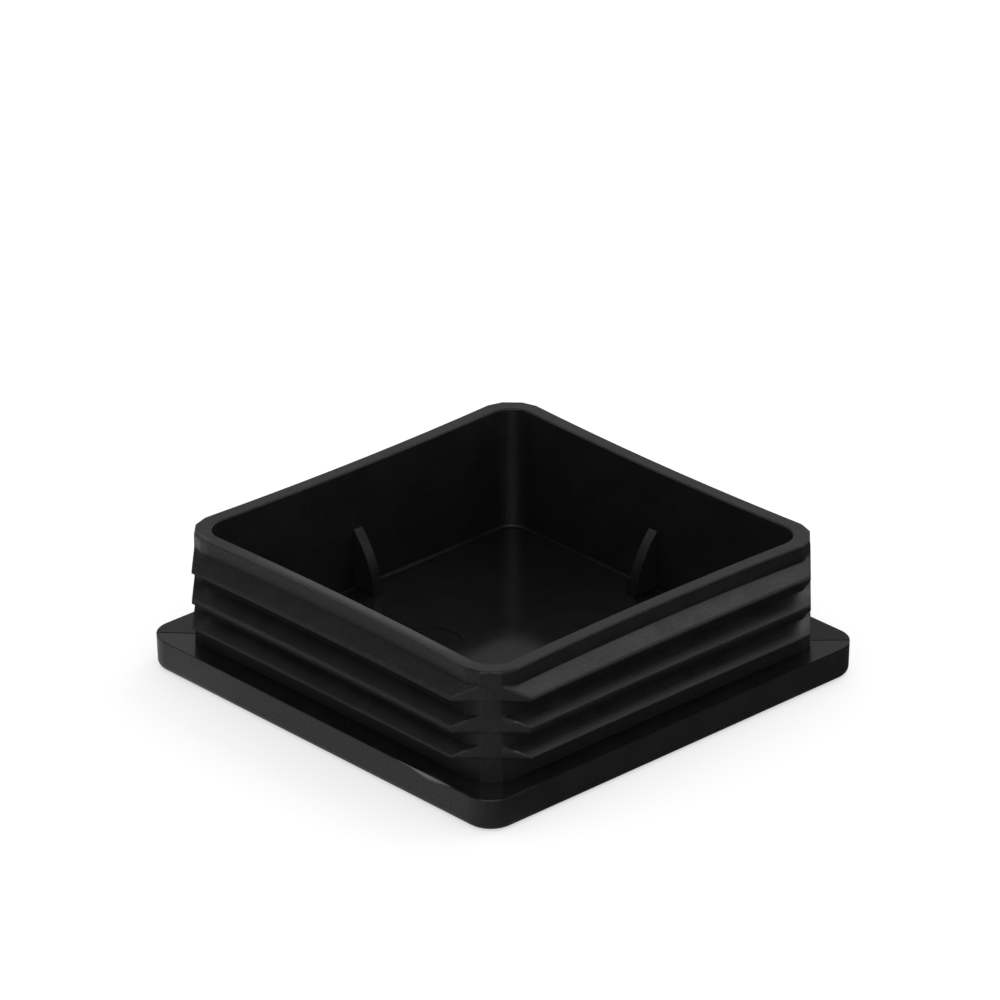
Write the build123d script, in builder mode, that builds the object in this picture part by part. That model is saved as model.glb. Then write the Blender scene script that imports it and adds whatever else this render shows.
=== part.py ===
from build123d import *
import os
from math import radians, sqrt, tan

# Cap that closes the open end of a square tube. It is moulded in one piece: a
# flat square head that covers the tube's end, and a hollow plug that goes into
# the tube and grips it with thin saw-tooth fins. All sizes are in millimetres.
# The origin is the middle of the show face, which lies at the bottom, and the
# plug opens upward along +Z.

# The head, which stays outside the tube.
head_width = 80.0  # at the seat, the same as the outside of the tube
head_height = 5.5  # from the show face up to the edge of the seat
head_corner = 4.6  # radius of the upright corners
head_draft = 1.4  # degrees, so that the sides narrow toward the show face
show_rounding = 1.2  # where the sides turn into the show face
field_margin = 2.6  # smooth border round the grained field of the show face
field_sink = 0.12  # how far the grained field lies behind its border
seat_width = 4.0  # ledge left round the plug, which the tube's end closes on
seat_fall = 0.14  # how far the seat falls from its outer edge to the plug

# The plug, which goes into the tube.
plug_height = 18.3  # from the edge of the seat to the rim
plug_draft = 0.5  # degrees, so that the plug narrows toward the rim
corner_lead = 5.5  # the walls start to turn in this far from each corner
corner_turn = 0.75  # how far they have turned in when they meet the flat
flat_width = 3.4  # of the flat that takes off each corner
rim_bow = 0.85  # how far the middle of each wall has drawn in at the rim
foot_bow = 0.15  # and at the seat
rim_break = 0.2  # the edges of the rim are barely broken

# The hollow inside the plug.
wall = 2.4  # thickness of the walls at the rim
floor_height = 2.8  # from the show face to the floor of the hollow
hollow_draft = 2.1  # degrees, so that the walls thicken toward the floor
hollow_corner = 4.2  # radius of the inner corners at the rim
floor_corner = 3.4  # and at the floor
floor_rounding = 0.5  # where the walls run into the floor

# The fins that grip the tube. The first one is the nearest to the rim.
fin_pitch = 5.0
lip_height = 2.8  # plain wall between the rim and the root of the first fin
fin_fall = 1.45  # from the root down to the top edge of the tip
fin_tips = (0.65, 0.95, 0.35)  # thickness of each tip, which the mould left uneven
fin_reach = 2.43  # how far the tips stand off the wall
tip_break = 0.12  # the top edge of each tip is barely broken
fin_end_flare = 0.08  # how far the cut ends stand off the corner flats
fin_bow_share = 0.5  # the tips draw in half as much as the walls

# The gussets that stiffen each wall on the inside. Those of facing walls line
# up with each other, a little off the middle of the cap.
gusset_rise = 10.4
gusset_reach = 4.85
gusset_thickness = 1.8
gusset_belly = 0.85  # how far the free edge swells beyond a straight line
gusset_line_x = 0.3  # where the pair on the front and back walls lines up
gusset_line_y = -1.1  # and the pair on the side walls

# Marks left by the mould and by handling.
witness_radius = 5.6
witness_sink = 0.15
witness_spot = (-10.3, -6.6)
nick_from_corner = 12.7  # along the front edge of the seat
nick_length = 8.0
nick_depth = 0.45

# Heights and widths that follow from the sizes above.
plug_width = head_width - 2 * seat_width  # at the corners of the rim
rim_height = head_height + plug_height
shoulder_height = rim_height - rim_break
buried = 1.0  # how deep each fin's body starts inside the wall
plug_buried = 1.5  # how deep the plug starts inside the head
gusset_buried = 1.5  # how deep each gusset starts inside its wall
gusset_sunk = 0.3  # and how deep it stands in the floor
fin_slope = fin_fall / fin_reach
flare_slope = fin_end_flare / fin_fall
seat_slope = seat_fall / seat_width


def wall_half(height):
    """Distance from the middle to a flat wall, at one height on the plug."""
    return plug_width / 2 + (rim_height - height) * tan(radians(plug_draft))


def flat_distance(height):
    """Distance from the middle to a corner flat, at one height on the plug."""
    turned_in = wall_half(height) - corner_turn
    return (2 * turned_in - flat_width / sqrt(2)) / sqrt(2)


def wall_bow(height):
    """How far a wall has drawn in at its middle, at one height on the plug."""
    return foot_bow + (rim_bow - foot_bow) * (height - head_height) / plug_height


def fin_section(height, half, flat, bow):
    """Square outline with its corners cut flat and its sides drawn in."""
    side_end = sqrt(2) * flat - half
    with BuildSketch(Plane.XY.offset(height)) as section:
        with BuildLine():
            for angle in (0, 90, 180, 270):
                start = Vector(-side_end, -half).rotate(Axis.Z, angle)
                middle = Vector(0, -half + bow).rotate(Axis.Z, angle)
                end = Vector(side_end, -half).rotate(Axis.Z, angle)
                after = Vector(half, -side_end).rotate(Axis.Z, angle)
                ThreePointArc(start, middle, end)
                Line(end, after)
        make_face()
    return section.sketch


def plug_section(height, half, flat, bow):
    """The same, with walls that turn in a little before they meet the flats."""
    side_end = half - corner_lead
    turned_in = half - corner_turn
    flat_end = sqrt(2) * flat - turned_in
    with BuildSketch(Plane.XY.offset(height)) as section:
        with BuildLine():
            for angle in (0, 90, 180, 270):
                start = Vector(-side_end, -half).rotate(Axis.Z, angle)
                middle = Vector(0, -half + bow).rotate(Axis.Z, angle)
                end = Vector(side_end, -half).rotate(Axis.Z, angle)
                flat_start = Vector(flat_end, -turned_in).rotate(Axis.Z, angle)
                flat_stop = Vector(turned_in, -flat_end).rotate(Axis.Z, angle)
                after = Vector(half, -side_end).rotate(Axis.Z, angle)
                ThreePointArc(start, middle, end)
                Polyline(end, flat_start, flat_stop, after)
        make_face()
    return section.sketch


def hollow_section(height, half, corner, bow):
    """Square outline with round corners and its sides drawn in."""
    with BuildSketch(Plane.XY.offset(height)) as section:
        with BuildLine():
            for angle in (0, 90, 180, 270):
                start = Vector(-half, -half).rotate(Axis.Z, angle)
                middle = Vector(0, -half + bow).rotate(Axis.Z, angle)
                end = Vector(half, -half).rotate(Axis.Z, angle)
                ThreePointArc(start, middle, end)
        make_face()
        fillet(section.vertices(), corner)
    return section.sketch


# The shape of the hollow, drawn as a solid of its own and taken out later. It
# flares over its last step, which breaks the rim's inner edge.
hollow_half = plug_width / 2 - wall
floor_half = hollow_half - (rim_height - floor_height) * tan(radians(hollow_draft))
with BuildPart() as hollow:
    floor_outline = hollow_section(floor_height, floor_half, floor_corner, foot_bow)
    neck_outline = hollow_section(shoulder_height, hollow_half, hollow_corner, rim_bow)
    mouth_outline = hollow_section(
        rim_height, hollow_half + rim_break, hollow_corner + rim_break, rim_bow
    )
    loft([floor_outline, neck_outline, mouth_outline], ruled=True)
    floor_edges = hollow.faces().sort_by(Axis.Z)[0].edges()
    fillet(floor_edges, floor_rounding)

with BuildPart() as end_cap:
    # The head, widest at the seat.
    with BuildSketch(Plane.XY.offset(head_height)):
        RectangleRounded(head_width, head_width, head_corner)
    extrude(amount=-head_height, taper=head_draft)
    fillet(end_cap.faces().sort_by(Axis.Z)[0].edges(), show_rounding)

    # The grained field of the show face lies a hair behind its smooth border.
    with BuildSketch(Plane.XY):
        RectangleRounded(
            head_width - 2 * field_margin,
            head_width - 2 * field_margin,
            head_corner - field_margin / 2,
        )
    extrude(amount=field_sink, mode=Mode.SUBTRACT)

    # The seat falls toward the plug in four planes that meet on the diagonals,
    # so that the outer edge closes tight on the end of the tube. The planes run
    # on under the plug, past its corner flats.
    seat_inside = plug_width - 2 * corner_lead
    seat_outside = head_width + 2 * seat_width
    with BuildSketch(Plane.XY.offset(head_height - seat_slope * (seat_width + corner_lead))):
        Rectangle(seat_inside, seat_inside)
    with BuildSketch(Plane.XY.offset(head_height + seat_fall)):
        Rectangle(seat_outside, seat_outside)
    loft(ruled=True, mode=Mode.SUBTRACT)

    # The plug as a solid block. It starts inside the head, and its last step
    # draws in to break the rim's outer edge.
    block_foot = head_height - plug_buried
    block_low = plug_section(
        block_foot, wall_half(block_foot), flat_distance(block_foot), foot_bow
    )
    block_high = plug_section(
        shoulder_height, wall_half(shoulder_height), flat_distance(shoulder_height), rim_bow
    )
    block_rim = plug_section(
        rim_height,
        wall_half(rim_height) - rim_break,
        flat_distance(rim_height) - rim_break,
        rim_bow,
    )
    loft([block_low, block_high, block_rim], ruled=True)

    # The fins. Each one slopes from its root down to a thin tip, and its ends
    # are cut off beside the corner flats.
    for number, tip in enumerate(fin_tips):
        root = rim_height - lip_height - number * fin_pitch
        tip_top = root - fin_fall
        tip_half = wall_half(tip_top) + fin_reach
        tip_bow = wall_bow(tip_top) * fin_bow_share
        outline = (
            (root + buried * fin_slope, wall_half(root) - buried, wall_bow(root)),
            (tip_top + tip_break * fin_slope, tip_half - tip_break, tip_bow),
            (tip_top - tip_break, tip_half, tip_bow),
            (tip_top - tip, tip_half, tip_bow),
        )
        sections = []
        for height, half, bow in outline:
            end_flat = flat_distance(height) + flare_slope * (root - height)
            sections.append(fin_section(height, half, end_flat, bow))
        loft(sections, ruled=True)

    # The hollow, open at the rim.
    add(hollow.part, mode=Mode.SUBTRACT)

    # One gusset on each wall, from the wall down to the floor.
    gusset_root = floor_half - foot_bow
    mid_out = gusset_reach / 2 + gusset_belly
    mid_up = gusset_rise / 2 + gusset_belly * gusset_reach / gusset_rise
    with BuildSketch(Plane.XZ) as gusset_side:
        with BuildLine():
            top = (gusset_root, floor_height + gusset_rise)
            middle = (gusset_root - mid_out, floor_height + mid_up)
            foot = (gusset_root - gusset_reach, floor_height - gusset_sunk)
            back_low = (gusset_root + gusset_buried, floor_height - gusset_sunk)
            back_high = (gusset_root + gusset_buried, floor_height + gusset_rise)
            ThreePointArc(top, middle, foot)
            Polyline(foot, back_low, back_high, top)
        make_face()
    gusset = extrude(gusset_side.sketch, gusset_thickness / 2, both=True, mode=Mode.PRIVATE)
    with Locations((0, gusset_line_y)):
        add(gusset)
        add(gusset.mirror(Plane.YZ))
    with Locations(Location((gusset_line_x, 0, 0), (0, 0, 90))):
        add(gusset)
        add(gusset.mirror(Plane.YZ))

    # A round witness mark of the mould in the floor, off the middle.
    with BuildSketch(Plane.XY.offset(floor_height)):
        with Locations(witness_spot):
            Circle(witness_radius)
    extrude(amount=-witness_sink, mode=Mode.SUBTRACT)

    # A nick in the front edge of the seat, a shallow scoop taken at 45 degrees
    # by a wide round cutter.
    nick_spot = head_width / 2 - nick_from_corner
    nick_radius = (nick_length**2 / 4 + nick_depth**2) / (2 * nick_depth)
    stand_off = (nick_radius - nick_depth) / sqrt(2)
    nick_plane = Plane(
        origin=(nick_spot, -head_width / 2 - stand_off, head_height + stand_off),
        x_dir=(1, 0, 0),
        z_dir=(0, 1, 1),
    )
    with BuildSketch(nick_plane):
        Circle(nick_radius)
    extrude(amount=2 * nick_depth, both=True, mode=Mode.SUBTRACT)

end_cap.part.label = "end_cap"
os.makedirs("parts", exist_ok=True)
export_step(end_cap.part, "parts/end_cap.step")
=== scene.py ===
# %% [markdown]
# # A push-in end cap for a square tube
#
# The object is one moulding of black polyethylene. A flat square head covers the
# end of the tube. A hollow plug goes into the tube and grips it with thin fins.
# The CAD model already has every shape of it, so this lesson is about looks: the
# finish that the mould leaves on each face, the studio light that makes a black
# part readable, and a camera that repeats the photograph's view.

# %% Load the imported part
from math import sqrt

import bmesh
import bpy
from mathutils import Matrix, Vector


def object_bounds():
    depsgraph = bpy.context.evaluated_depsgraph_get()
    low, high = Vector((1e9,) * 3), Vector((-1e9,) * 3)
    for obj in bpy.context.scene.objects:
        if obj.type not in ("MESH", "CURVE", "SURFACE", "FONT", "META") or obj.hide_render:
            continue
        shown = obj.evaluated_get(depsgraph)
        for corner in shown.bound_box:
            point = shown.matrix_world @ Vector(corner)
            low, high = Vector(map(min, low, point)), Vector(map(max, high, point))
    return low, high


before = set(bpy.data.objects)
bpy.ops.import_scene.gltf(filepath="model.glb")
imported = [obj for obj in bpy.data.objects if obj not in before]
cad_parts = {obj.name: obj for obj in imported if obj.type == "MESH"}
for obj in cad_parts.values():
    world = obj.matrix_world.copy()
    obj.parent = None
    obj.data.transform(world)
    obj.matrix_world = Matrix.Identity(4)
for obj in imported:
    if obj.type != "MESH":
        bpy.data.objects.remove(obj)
cad_low, cad_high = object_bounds()
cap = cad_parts["end_cap"]
print("CAD box in mm:", [round(v * 1000, 2) for v in (*cad_low, *cad_high)])

# %% [markdown]
# ## Sizes that tell one face from another
#
# One moulding has several finishes, because the steel of the mould was worked
# differently from face to face. The material finds each face by its height above
# the show face and its distance from the middle, in metres. The levels of the
# flat faces come first. Other sizes are named in the step that wants them, and a
# range that is used once stands in its own line, also in metres.

# %% Name the sizes of the faces
floor_height = 0.0028
seat_height = 0.0055
rim_height = cad_high.z
head_half = cad_high.x
print("floor, seat and rim at", [round(v * 1000, 2) for v in (floor_height, seat_height, rim_height)], "mm")

# %% [markdown]
# ## A small helper for node trees
#
# A material is a graph. Writing each link by hand hides the idea, so this helper
# makes a node, sets its plain values and joins its inputs in one call.

# %% Define the node helper
def make_node(tree, kind, inputs=None, **settings):
    """Add one node, set its settings, and fill or join its inputs."""
    node = tree.nodes.new(kind)
    for name, value in settings.items():
        setattr(node, name, value)
    for key, value in (inputs or {}).items():
        socket = node.inputs[key]
        if isinstance(value, bpy.types.NodeSocket):
            tree.links.new(value, socket)
        else:
            socket.default_value = value
    return node


def math_node(tree, operation, a, b=0.0):
    """One step of arithmetic on two numbers or sockets."""
    return make_node(tree, "ShaderNodeMath", {0: a, 1: b}, operation=operation).outputs[0]


def ramp(tree, value, low, high, to_low=0.0, to_high=1.0, smooth=True):
    """Map a value from one range to another, clamped at both ends."""
    node = make_node(
        tree,
        "ShaderNodeMapRange",
        {"Value": value, "From Min": low, "From Max": high, "To Min": to_low, "To Max": to_high},
        interpolation_type="SMOOTHSTEP" if smooth else "LINEAR",
        clamp=True,
    )
    return node.outputs["Result"]


print("helpers ready")

# %% [markdown]
# ## The black polyethylene
#
# Carbon black swallows nearly all the light that goes in, so what the eye sees is
# almost only gloss. The finish is therefore in the roughness, in how strong the
# gloss is, and in fine bump. Each face could have a material of its own, but the
# real part is one moulding: the plastic runs through, and only the finish of the
# mould changes. So there is one material, and masks tell it which face it is on.

# %% Start the material of the cap
black = bpy.data.materials.new("black_polyethylene")
black.use_nodes = True
tree = black.node_tree
tree.nodes.clear()
place = make_node(tree, "ShaderNodeTexCoord").outputs["Object"]
place_x, place_y, height = make_node(tree, "ShaderNodeSeparateXYZ", {0: place}).outputs
facing = make_node(tree, "ShaderNodeNewGeometry").outputs["True Normal"]
facing_x, facing_y, facing_z = make_node(tree, "ShaderNodeSeparateXYZ", {0: facing}).outputs
print("material started:", black.name)

# %% [markdown]
# ## Words for masks
#
# A mask is 1 on one kind of face and 0 elsewhere, and soft at its border. Masks are
# joined by plain arithmetic, so short names for that arithmetic keep the recipe
# readable. All of them work on the cap's own node tree.

# %% Define the words for masks
def both(a, b):
    """Where two masks overlap, or one number times another."""
    return math_node(tree, "MULTIPLY", a, b)


def minus(a, b):
    """One number less another. 1 minus a mask is everywhere else."""
    return math_node(tree, "SUBTRACT", a, b)


def over(a, limit):
    """1 where a number is over a limit."""
    return math_node(tree, "GREATER_THAN", a, limit)


def under(a, limit):
    """1 where a number is under a limit."""
    return math_node(tree, "LESS_THAN", a, limit)


def size_of(a):
    """A number without its sign."""
    return math_node(tree, "ABSOLUTE", a)


def larger(a, b):
    """The larger of two numbers, or where either mask is."""
    return math_node(tree, "MAXIMUM", a, b)


def smaller(a, b):
    """The smaller of two numbers."""
    return math_node(tree, "MINIMUM", a, b)


def blend(share, a, b):
    """From one number to another by a mask."""
    return make_node(tree, "ShaderNodeMix", {0: share, 2: a, 3: b}, data_type="FLOAT").outputs[0]


def dot(a, direction):
    """How far a vector goes in one direction."""
    node = make_node(tree, "ShaderNodeVectorMath", {0: a, 1: direction}, operation="DOT_PRODUCT")
    return node.outputs["Value"]


def add_scaled(a, scale, b):
    """A vector times a scale, plus another vector."""
    inputs = {0: a, 1: scale, 2: b}
    return make_node(tree, "ShaderNodeVectorMath", inputs, operation="MULTIPLY_ADD").outputs[0]


print("words for masks ready")

# %% [markdown]
# ## Which way a face looks, and how far out it lies
#
# The cap is square, so the larger of the two distances from the middle says how far
# out a wall lies, and the smaller says how near its corner a point is.

# %% Measure where each point is
side_x = size_of(place_x)
side_y = size_of(place_y)
reach = larger(side_x, side_y)
near_corner = smaller(side_x, side_y)
toward_front = minus(place_x, place_y)
front_end = ramp(tree, toward_front, 0.066, 0.072)
level = ramp(tree, facing_z, 0.9, 0.98)
upright = ramp(tree, larger(size_of(facing_x), size_of(facing_y)), 0.88, 0.94)
outer_reach = 0.0347
outside = over(reach, outer_reach)
print("outside of the plug starts at", round(outer_reach * 1000, 2), "mm from the middle")

# %% [markdown]
# ## The seat, the hollow and the show face
#
# The seat and the hollow's floor come from polished steel. The gussets have a cutter's finish on their free
# edges, and their sides are painted a shade lighter, painted fill light in the shade of the hollow. The
# show face has a grained field inside a smooth border. Where the seat's four planes meet there is a faint
# crease.

# %% Pick out the seat, the hollow and the show face
on_seat = both(level, under(size_of(minus(height, seat_height)), 0.0004))
crease = both(on_seat, ramp(tree, minus(reach, near_corner), 0.00034, 0.00016))
crease = both(crease, minus(1.0, front_end))
on_floor = both(level, under(size_of(minus(height, floor_height)), 0.0003))
in_hollow = under(reach, 0.0344)
floor_edge = both(ramp(tree, height, 0.0040, 0.0033), both(in_hollow, over(height, 0.0026)))
floor_edge = both(floor_edge, minus(1.0, on_floor))
field_half = 0.0374
on_field = both(under(height, 0.0002), under(reach, field_half))
polished = larger(on_seat, on_floor)
on_gusset = both(under(reach, 0.0326), over(height, floor_height + 0.0006))
facing_along = blend(over(side_x, side_y), size_of(facing_x), size_of(facing_y))
# The gussets' sides, whose colour is painted a shade lighter as painted fill light.
gusset_side_painted_fill = both(on_gusset, ramp(tree, facing_along, 0.3, 0.8))
print("masks: seat, crease, hollow's floor and its edge, grained field, gussets")

# %% [markdown]
# ## The nick in the head's edge
#
# A sliver is ripped out of one edge of the head. The scoop is in the CAD model. Below the edge the colour
# is painted pale, a painted highlight in place of a glint. It is drawn by how far a point lies below the
# edge, against a reach that grows to 0.7 mm along the edge and fades again.

# %% Pick out the nick and the painted highlight below it
nick_spot = (0.0273, -0.0398, 0.0053)
nick_facing = (0, -sqrt(0.5), sqrt(0.5))
highlight_drop_direction = (0, -0.578, -0.816)
nick_distance = make_node(
    tree, "ShaderNodeVectorMath", {0: place, 1: nick_spot}, operation="DISTANCE"
).outputs["Value"]
in_nick = both(under(nick_distance, 0.0046), ramp(tree, dot(facing, nick_facing), 0.90, 0.94))
in_nick = both(in_nick, under(height, 0.0057))
from_edge = make_node(
    tree, "ShaderNodeVectorMath", {0: place, 1: (0, -head_half, seat_height)}, operation="SUBTRACT"
).outputs[0]
drop = dot(from_edge, highlight_drop_direction)
highlight_fade = both(ramp(tree, place_x, 0.0188, 0.0206), ramp(tree, place_x, 0.0325, 0.0270))
highlight_reach = both(ramp(tree, place_x, 0.0212, 0.0264, 0.0001, 0.0007), highlight_fade)
highlight_share = math_node(tree, "DIVIDE", drop, larger(highlight_reach, 0.00001))
near_edge = both(
    both(over(drop, 0.0), under(place_y, -0.039)),
    both(under(height, 0.0056), over(height, 0.0035)),
)
# Mask of the painted highlight: full just below the edge, gone past its reach.
nick_painted_highlight = both(near_edge, ramp(tree, highlight_share, 1.1, 0.35))
print("nick at", [round(v * 1000, 1) for v in nick_spot], "mm")

# %% [markdown]
# ## The fins and the walls between them
#
# The three fins repeat at one pitch, so the height modulo that pitch tells where on
# a fin a point is. Tips, grooves, slopes and the plain lip over the first fin each
# take the light in their own way.

# %% Pick out the fins, the grooves and the lip
fin_root = 0.021
fin_pitch = 0.005
tip_top = 0.01955
first_tip_low = 0.0184
plug_part = both(ramp(tree, height, 0.00532, 0.00538), outside)
below_tip = math_node(tree, "FLOORED_MODULO", minus(tip_top, height), fin_pitch)
above_root = math_node(tree, "FLOORED_MODULO", minus(height, fin_root), fin_pitch)
below_lip = ramp(tree, height, 0.0208, 0.0204)
on_tip = both(both(upright, ramp(tree, reach, 0.0372, 0.0378)), both(plug_part, below_lip))
first_tip = over(height, first_tip_low)
top_edge = both(both(on_tip, first_tip), ramp(tree, below_tip, 0.00030, 0.00018))
on_wall = both(both(upright, ramp(tree, reach, 0.0370, 0.0364)), plug_part)
in_groove = both(on_wall, below_lip)
on_lip = minus(on_wall, in_groove)
on_slope = both(minus(1.0, upright), both(plug_part, ramp(tree, height, 0.0165, 0.0161)))
right_slope = both(on_slope, ramp(tree, place_x, 0.0352, 0.0356))
left_end = both(
    both(ramp(tree, place_x, -0.0282, -0.0302), ramp(tree, place_y, -0.0330, -0.0335)),
    both(ramp(tree, height, 0.0056, 0.0060), outside),
)
print("fin tips start at", [round((tip_top - row * fin_pitch) * 1000, 2) for row in range(3)], "mm")

# %% [markdown]
# ## The painted sheen on the rim
#
# On one side the rim has a band that is painted paler and given more gloss than the rest, a painted sheen
# in place of a bright reflection there. The wall bows inward, so the band is measured from the bowed outer
# edge of the rim and not from a straight line.

# %% Pick out the band of painted sheen on the rim
plug_half = 0.036
flat_half = 0.0325
wall_bow = 0.00085
share_of_side = both(place_x, 1 / flat_half)
bow = make_node(
    tree,
    "ShaderNodeMath",
    {0: both(share_of_side, share_of_side), 1: -wall_bow, 2: wall_bow},
    operation="MULTIPLY_ADD",
).outputs[0]
from_outside = minus(math_node(tree, "ADD", place_y, plug_half), bow)
on_rim = both(level, ramp(tree, height, rim_height - 0.0008, rim_height - 0.0005))
on_rim = both(on_rim, ramp(tree, place_y, -0.0310, -0.0318))
rim_ends = both(ramp(tree, place_x, -0.028, -0.008), ramp(tree, place_x, 0.034, 0.016))
rim_painted_sheen = both(both(on_rim, rim_ends), ramp(tree, from_outside, 0.0005, 0.0016))
print("the rim bows inward by", round(wall_bow * 1000, 2), "mm")

# %% [markdown]
# ## Edges that catch the light
#
# No moulded edge is sharp. A Bevel node bends the shading normal near an edge and
# leaves the mesh alone, so each edge shows a thin line of light. The roots of the
# fins and the foot of the walls are inner corners, and those stay sharp.

# %% Soften the edges
crisp_edge = 0.00013
worn_edge = 0.0006
edge_radius = ramp(tree, both(outside, near_corner), 0.0290, 0.0305, crisp_edge, worn_edge)
head_edge = both(under(height, 0.0057), ramp(tree, reach, 0.0380, 0.0385))
edge_radius = blend(both(head_edge, minus(1.0, front_end)), edge_radius, crisp_edge)
to_root = smaller(above_root, minus(fin_pitch, above_root))
sharp_root = both(ramp(tree, to_root, 0.0005, 0.0003), ramp(tree, reach, 0.0370, 0.0367))
sharp_root = both(sharp_root, below_lip)
sharp_foot = both(ramp(tree, height, 0.0061, 0.0058), ramp(tree, reach, 0.0368, 0.0366))
sharp = both(larger(sharp_root, sharp_foot), outside)
edge_radius = both(edge_radius, minus(1.0, sharp))
bevel = make_node(tree, "ShaderNodeBevel", {"Radius": edge_radius}, samples=6).outputs["Normal"]
lifted = add_scaled(bevel, (0.514, 0.514, 0.514), (0, 0, 0.857))
soft_edges = make_node(
    tree, "ShaderNodeMix", {0: top_edge, 4: bevel, 5: lifted}, data_type="VECTOR"
).outputs[1]
print("edge radii in mm:", round(crisp_edge * 1000, 2), round(worn_edge * 1000, 2))

# %% [markdown]
# ## Stipple, waves and grain
#
# Spark erosion leaves a close stipple on the steel, and the walls shrink in slow
# waves as they cool. Both are noise at their own scales, turned into bump. The
# show face has a leather grain instead: cells whose borders are grooves, warped a
# little so that they look grown and not drawn.

# %% Make the surface texture
def noise(scale, detail, roughness):
    """Noise on the cap's own coordinates."""
    settings = {"Vector": place, "Scale": scale, "Detail": detail, "Roughness": roughness}
    return make_node(tree, "ShaderNodeTexNoise", settings).outputs


def bump(shape, strength, depth, normal):
    """Raise the shading by a pattern, over an earlier normal."""
    settings = {"Height": shape, "Strength": strength, "Distance": depth, "Normal": normal}
    return make_node(tree, "ShaderNodeBump", settings).outputs["Normal"]


stipple = noise(3400.0, 2.0, 0.7)["Fac"]
waves = noise(90.0, 1.5, 0.5)["Fac"]
cloud = noise(260.0, 3.0, 0.55)["Fac"]
grain_warp = 0.0009
warped = add_scaled(noise(400.0, 1.0, 0.5)["Color"], (grain_warp, grain_warp, grain_warp), place)
pebbles = make_node(
    tree, "ShaderNodeTexVoronoi", {"Vector": warped, "Scale": 850.0}, feature="DISTANCE_TO_EDGE"
).outputs["Distance"]
grain = both(on_field, ramp(tree, pebbles, 0.0, 0.22))
relief = bump(waves, 0.2, 0.00006, soft_edges)
relief = bump(both(stipple, minus(1.0, both(polished, 0.8))), 0.6, 0.00002, relief)
relief = bump(grain, 0.7, 0.00012, relief)
print("noise, grain and bump joined; nodes so far:", len(tree.nodes))

# %% [markdown]
# ## Roughness
#
# Roughness spreads a reflection without making it weaker. The polished faces are
# smooth enough to mirror the plug as a soft image, and the grooves are dull.

# %% Set the roughness of each face
rough = ramp(tree, cloud, 0.3, 0.7, 0.34, 0.41)
rough = blend(on_seat, rough, ramp(tree, cloud, 0.3, 0.7, 0.16, 0.22))
rough = blend(on_floor, rough, ramp(tree, cloud, 0.3, 0.7, 0.09, 0.13))
rough = blend(in_groove, rough, 0.5)
rough = blend(floor_edge, rough, 0.45)
rough = blend(larger(in_nick, nick_painted_highlight), rough, 0.6)
rough = blend(on_field, rough, 0.5)
print("roughness set; nodes so far:", len(tree.nodes))

# %% [markdown]
# ## Strength of the gloss on the plug's outside
#
# The shader's 0.5 is the gloss of clean plastic. The grooves get less of it, since
# little light reaches into them, and less still toward the foot. The tips shine
# most on the first fin, and more on the right side of the cap than on the left.

# %% Set the gloss of the fins and walls
clean_gloss = 0.5
groove_gloss = ramp(tree, height, 0.0090, 0.0105, 0.30, 0.07)
groove_gloss = blend(ramp(tree, near_corner, 0.0290, 0.0340), groove_gloss, 0.36)
foot = ramp(tree, height, 0.0054, 0.0068, 0.6, 1.0, smooth=False)
gloss = blend(in_groove, clean_gloss, both(groove_gloss, foot))
left_shine = ramp(tree, height, 0.0105, 0.0130, 0.22, 0.34)
tip_shine = blend(over(place_x, 0.037), left_shine, blend(first_tip, 0.55, 1.0))
gloss = blend(on_tip, gloss, blend(ramp(tree, below_tip, 0.0003, 0.0007), tip_shine, 0.10))
gloss = blend(top_edge, gloss, clean_gloss)
gloss = blend(right_slope, gloss, ramp(tree, above_root, 0.0037, 0.0047, 0.52, 0.78))
gloss = blend(on_lip, gloss, ramp(tree, above_root, 0.0, 0.0014, 0.24, clean_gloss))
print("gloss of the fins and walls set; nodes so far:", len(tree.nodes))

# %% [markdown]
# ## Strength of the gloss elsewhere
#
# The polished faces mirror the dark plug, so their gloss is held low and changes
# slowly across the part. The last step breaks the gloss up with the stipple.

# %% Set the gloss of the other faces
gloss = blend(floor_edge, gloss, ramp(tree, near_corner, 0.0255, 0.0280, 0.19, 0.31))
gloss = blend(on_floor, gloss, ramp(tree, toward_front, -0.03, 0.02, 0.24, 0.16))
gloss = blend(on_seat, gloss, ramp(tree, place_x, -0.03, 0.03, 0.36, 0.20))
end_shade = ramp(tree, above_root, 0.0036, 0.0049, 0.85, 0.4)
shaded = both(left_end, ramp(tree, height, 0.0186, 0.0180))
gloss = both(gloss, blend(shaded, 1.0, end_shade))
gloss = blend(both(left_end, ramp(tree, height, 0.0212, 0.0222)), gloss, 0.9)
gloss = blend(rim_painted_sheen, gloss, 0.8)
gloss = blend(crease, gloss, 0.02)
gloss = blend(on_gusset, gloss, ramp(tree, facing_along, 0.3, 0.8, 0.38, 0.7))
gloss = blend(in_nick, gloss, 0.15)
speckle = ramp(tree, stipple, 0.3, 0.7, 0.72, 1.28, smooth=False)
gloss = both(gloss, blend(polished, speckle, 1.0))
print("gloss of all faces set; nodes so far:", len(tree.nodes))

# %% [markdown]
# ## Colour, and the shader itself
#
# The plastic is near black, clouded a little by how the carbon mixed in. Below the nick a pale painted
# highlight stands in for a glint. The gussets' sides are painted a shade lighter as painted fill light, and
# a band on the rim is painted paler as a painted sheen.

# %% Set the colours and join the shader
def paint(share, a, b):
    """From one colour to another by a mask."""
    return make_node(tree, "ShaderNodeMix", {0: share, 6: a, 7: b}, data_type="RGBA").outputs[2]


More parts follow.
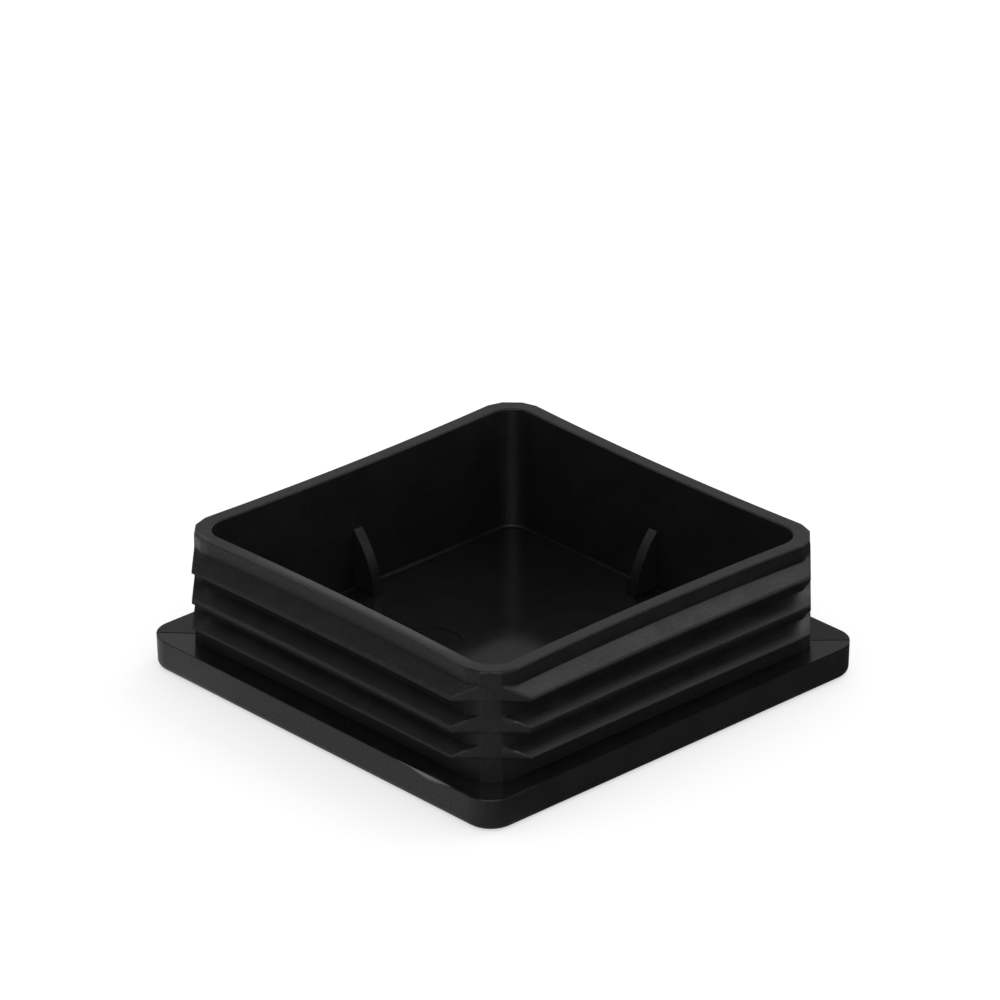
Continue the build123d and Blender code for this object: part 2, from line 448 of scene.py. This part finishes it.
tone = paint(
    ramp(tree, cloud, 0.35, 0.65), (0.0094, 0.0094, 0.0098, 1.0), (0.0116, 0.0116, 0.0120, 1.0)
)
# Pale grey of the painted highlight below the nick, paler toward one end.
nick_highlight_grey = paint(
    ramp(tree, place_x, 0.0262, 0.0300), (0.23, 0.23, 0.235, 1.0), (0.15, 0.15, 0.155, 1.0)
)
tone = paint(nick_painted_highlight, tone, nick_highlight_grey)
# Gussets' sides painted a shade lighter: painted fill light for the shade in the hollow.
tone = paint(gusset_side_painted_fill, tone, (0.019, 0.019, 0.0195, 1.0))
# A band on the rim painted paler: painted sheen.
tone = paint(rim_painted_sheen, tone, (0.055, 0.055, 0.056, 1.0))
surface = make_node(
    tree,
    "ShaderNodeBsdfPrincipled",
    {
        "Base Color": tone,
        "Roughness": rough,
        "IOR": 1.5,
        "Specular IOR Level": gloss,
        "Normal": relief,
    },
)
make_node(tree, "ShaderNodeOutputMaterial", {"Surface": surface.outputs[0]})
cap.material_slots[0].material = black
print("nodes in", black.name, ":", len(tree.nodes))

# %% [markdown]
# ## The floor
#
# The cap stands on a pale sheet. To the camera the sheet is white, with a soft
# shadow round the cap. A black side shows nothing but what it mirrors, so the
# sheet has a second face for gloss: a plain glow that is bright in front on the
# left and fades toward the right, as a sheet does beside one large window. From
# below the sheet is clear, so the show face can be looked at too. It lies a hair
# below that face, so that the two don't fight for the same place.

# %% Lay the floor
def make_floor(name, half):
    """A flat square sheet under the cap."""
    mesh = bpy.data.meshes.new(name)
    shape = bmesh.new()
    bmesh.ops.create_grid(shape, x_segments=1, y_segments=1, size=half)
    shape.to_mesh(mesh)
    shape.free()
    sheet = bpy.data.objects.new(name, mesh)
    bpy.context.scene.collection.objects.link(sheet)
    return sheet


def mirrored_glow(tree):
    """How bright the sheet is to a mirror, from the place on the sheet."""
    place = make_node(tree, "ShaderNodeTexCoord").outputs["Object"]
    flat = make_node(
        tree, "ShaderNodeVectorMath", {0: place, 1: (1, 1, 0)}, operation="MULTIPLY"
    ).outputs[0]
    away = make_node(tree, "ShaderNodeVectorMath", {0: flat}, operation="LENGTH").outputs["Value"]
    across = make_node(
        tree, "ShaderNodeVectorMath", {0: flat, 1: (sqrt(0.5), sqrt(0.5), 0)}, operation="DOT_PRODUCT"
    ).outputs["Value"]
    place_x = make_node(tree, "ShaderNodeSeparateXYZ", {0: place}).outputs["X"]
    leftward = math_node(tree, "DIVIDE", place_x, away)
    glow = ramp(tree, across, -0.013, 0.013, 0.47, 0.05)
    glow = math_node(tree, "MULTIPLY", glow, ramp(tree, away, 0.045, 0.078, 1.0, 0.78))
    return math_node(tree, "MULTIPLY", glow, ramp(tree, leftward, -0.35, -0.65, 1.0, 1.35))


floor_half = 6.0
floor_drop = 0.00003
floor = make_floor("studio_floor", floor_half)
pale = bpy.data.materials.new("pale_sheet")
pale.use_nodes = True
pale.cycles.emission_sampling = "NONE"
tree = pale.node_tree
tree.nodes.clear()
path = make_node(tree, "ShaderNodeLightPath")
seen = math_node(tree, "MAXIMUM", path.outputs["Is Camera Ray"], path.outputs["Is Transmission Ray"])
sheet_colour = make_node(tree, "ShaderNodeBsdfDiffuse", {"Color": (0.8, 0.8, 0.8, 1.0)})
sheet_white = make_node(tree, "ShaderNodeEmission", {"Strength": math_node(tree, "MULTIPLY", seen, 0.55)})
lit_sheet = make_node(tree, "ShaderNodeAddShader", {0: sheet_colour.outputs[0], 1: sheet_white.outputs[0]})
mirrored = make_node(tree, "ShaderNodeEmission", {"Strength": mirrored_glow(tree)})
sheet = make_node(
    tree,
    "ShaderNodeMixShader",
    {0: path.outputs["Is Glossy Ray"], 1: lit_sheet.outputs[0], 2: mirrored.outputs[0]},
)
from_below = make_node(tree, "ShaderNodeNewGeometry").outputs["Backfacing"]
clear = make_node(tree, "ShaderNodeBsdfTransparent")
one_way = make_node(
    tree, "ShaderNodeMixShader", {0: from_below, 1: sheet.outputs[0], 2: clear.outputs[0]}
)
make_node(tree, "ShaderNodeOutputMaterial", {"Surface": one_way.outputs[0]})
floor.data.materials.append(pale)
floor.location.z = -floor_drop
print("floor half width in m:", floor_half)

# %% [markdown]
# ## Studio light
#
# One large soft box hangs high behind on the right, and shows as a bright sheen on
# the sloping fins there. The room does the rest: an even white light for colour,
# and for gloss a wall that is pale near the floor and dimmer overhead.

# %% Set the lamp and the room
def soft_box(name, direction, distance, width, depth, power):
    """An area lamp that looks at the middle of the cap from one direction."""
    lamp = bpy.data.lights.new(name, "AREA")
    lamp.shape = "RECTANGLE"
    lamp.size = width
    lamp.size_y = depth
    lamp.energy = power
    holder = bpy.data.objects.new(name, lamp)
    away = Vector(direction).normalized()
    holder.location = away * distance + Vector((0, 0, 0.012))
    holder.rotation_euler = away.to_track_quat("Z", "Y").to_euler()
    holder.visible_camera = False
    bpy.context.scene.collection.objects.link(holder)
    return holder


soft_box(
    "high_box",
    direction=(0.044, 0.612, 0.790),
    distance=1.3,
    width=0.7,
    depth=0.5,
    power=1.45,
)

# Two windows that only gloss shows: direction, where the glow starts and is
# full (cosines), and its strength.
windows = (
    ((0.56, -0.58, 0.59), 0.75, 0.96, 1.1),
    ((-0.66, -0.43, 0.61), 0.965, 0.99, 0.7),
)
world = bpy.data.worlds.new("studio_room")
world.use_nodes = True
world.cycles.sampling_method = "NONE"
bpy.context.scene.world = world
tree = world.node_tree
tree.nodes.clear()
path = make_node(tree, "ShaderNodeLightPath")
look = make_node(tree, "ShaderNodeTexCoord").outputs["Generated"]
up = make_node(tree, "ShaderNodeSeparateXYZ", {0: look}).outputs["Z"]
to_back = make_node(
    tree, "ShaderNodeVectorMath", {0: look, 1: (0.5, 0.87, 0)}, operation="DOT_PRODUCT"
).outputs["Value"]
low_wall = ramp(tree, to_back, -0.9, 0.9, 0.24, 0.64, smooth=False)
gloss_room = make_node(
    tree,
    "ShaderNodeMix",
    {0: ramp(tree, up, 0.43, 0.75, smooth=False), 2: low_wall, 3: 0.12},
    data_type="FLOAT",
).outputs[0]
for toward, first, full, glow in windows:
    aim = Vector(toward).normalized()
    facing_it = make_node(
        tree, "ShaderNodeVectorMath", {0: look, 1: aim}, operation="DOT_PRODUCT"
    ).outputs["Value"]
    gloss_room = math_node(tree, "ADD", gloss_room, ramp(tree, facing_it, first, full, 0.0, glow))
spread = make_node(
    tree, "ShaderNodeMix", {0: path.outputs["Is Glossy Ray"], 2: 0.6, 3: gloss_room}, data_type="FLOAT"
).outputs[0]
seen = math_node(tree, "MAXIMUM", path.outputs["Is Camera Ray"], path.outputs["Is Transmission Ray"])
strength = make_node(tree, "ShaderNodeMix", {0: seen, 2: spread, 3: 1.0}, data_type="FLOAT").outputs[0]
room = make_node(tree, "ShaderNodeBackground", {"Color": (1.0, 1.0, 1.0, 1.0), "Strength": strength})
make_node(tree, "ShaderNodeOutputWorld", {"Surface": room.outputs[0]})

# %% [markdown]
# ## The camera
#
# The view was worked out from the edges of the cap in the photograph: a long lens
# that looks down on a front corner from about a metre away.

# %% Place the camera
lens = bpy.data.cameras.new("photo_view")
camera = bpy.data.objects.new("photo_view", lens)
bpy.context.scene.collection.objects.link(camera)
view_right = Vector((0.68154, 0.73176, -0.00543))
view_up = Vector((-0.31432, 0.29943, 0.90085))
view_back = Vector((0.66083, -0.61227, 0.43409))
turn = Matrix((view_right, view_up, view_back)).transposed().to_4x4()
camera.matrix_world = Matrix.Translation((0.707667, -0.656024, 0.494224)) @ turn
lens.sensor_fit = "HORIZONTAL"
lens.sensor_width = 36.0
lens.lens = 247.113
lens.clip_start = 0.05
lens.clip_end = 50.0
bpy.context.scene.camera = camera
bpy.context.scene.view_settings.view_transform = "Standard"
print("camera distance in m:", round(camera.location.length, 3))
